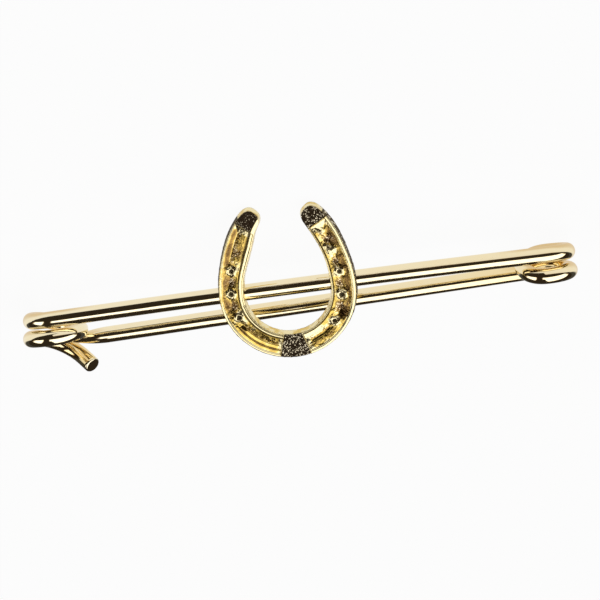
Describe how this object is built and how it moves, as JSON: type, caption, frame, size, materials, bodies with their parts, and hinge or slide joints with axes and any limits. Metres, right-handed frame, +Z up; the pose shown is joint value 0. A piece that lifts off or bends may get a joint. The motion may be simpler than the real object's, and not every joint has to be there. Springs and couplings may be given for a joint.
{
  "type": "stock pin",
  "caption": "Safety-pin style stock pin of bent round gold wire, with a spring coil, a catch coil with a turned-out tail, and a cast horseshoe soldered across the front bar.",
  "frame": {"origin": "centre of the footprint box, on the surface that the pin rests on", "axes": "+X along the bar, from the spring coil to the catch coil; +Y from the bar towards the pin stem; +Z up, away from the surface"},
  "size_m": [0.0768, 0.0214, 0.0124],
  "materials": {
    "polished_gold": "polished pale gold plate on the bent wire, with fine drawing and rubbing marks",
    "cast_gold": "deep yellow gold plate on the casting, bright on rims and pads, rough in the channel"
  },
  "bodies": {
    "pin_frame": {"pin_frame": "polished_gold"},
    "pin_stem": {"pin_stem": "polished_gold"}
  },
  "joints": [
    {"name": "stem_squeeze", "type": "hinge", "parent": "pin_frame", "child": "pin_stem", "pos_m": [-0.03408, 0.00211, 0.00295], "axis": [0, -0.8545, -0.5195], "range_deg": [0, 3], "stiffness_Nm_per_rad": 0.5, "springref_deg": -2.86}
  ]
}
